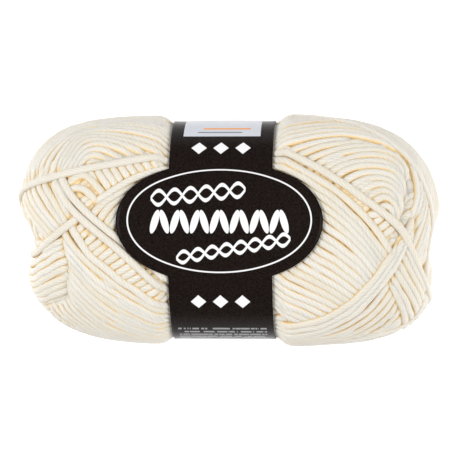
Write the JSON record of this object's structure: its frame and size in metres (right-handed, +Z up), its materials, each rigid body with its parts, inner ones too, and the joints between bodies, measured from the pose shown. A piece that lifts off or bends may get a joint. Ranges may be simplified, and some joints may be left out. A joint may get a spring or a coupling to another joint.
{
  "type": "skein of yarn with a paper band",
  "caption": "Oblong centre-pull skein of soft cotton yarn lying on its side, in a black paper band that flares into an oval in front",
  "frame": {"origin": "middle of the bounding box, at the bottom, where the skein lies on a surface", "axes": "+X along the skein toward its right end, +Y toward its upper side as the oval is read, +Z up, out of the oval"},
  "size_m": [0.1149, 0.0635, 0.0514],
  "materials": {
    "cotton_yarn": "soft matt plied cotton, natural cream",
    "black_paper": "satin coated label paper, near black, with white printed lines"
  },
  "bodies": {
    "root": {"yarn": "cotton_yarn", "label": "black_paper"}
  },
  "joints": []
}
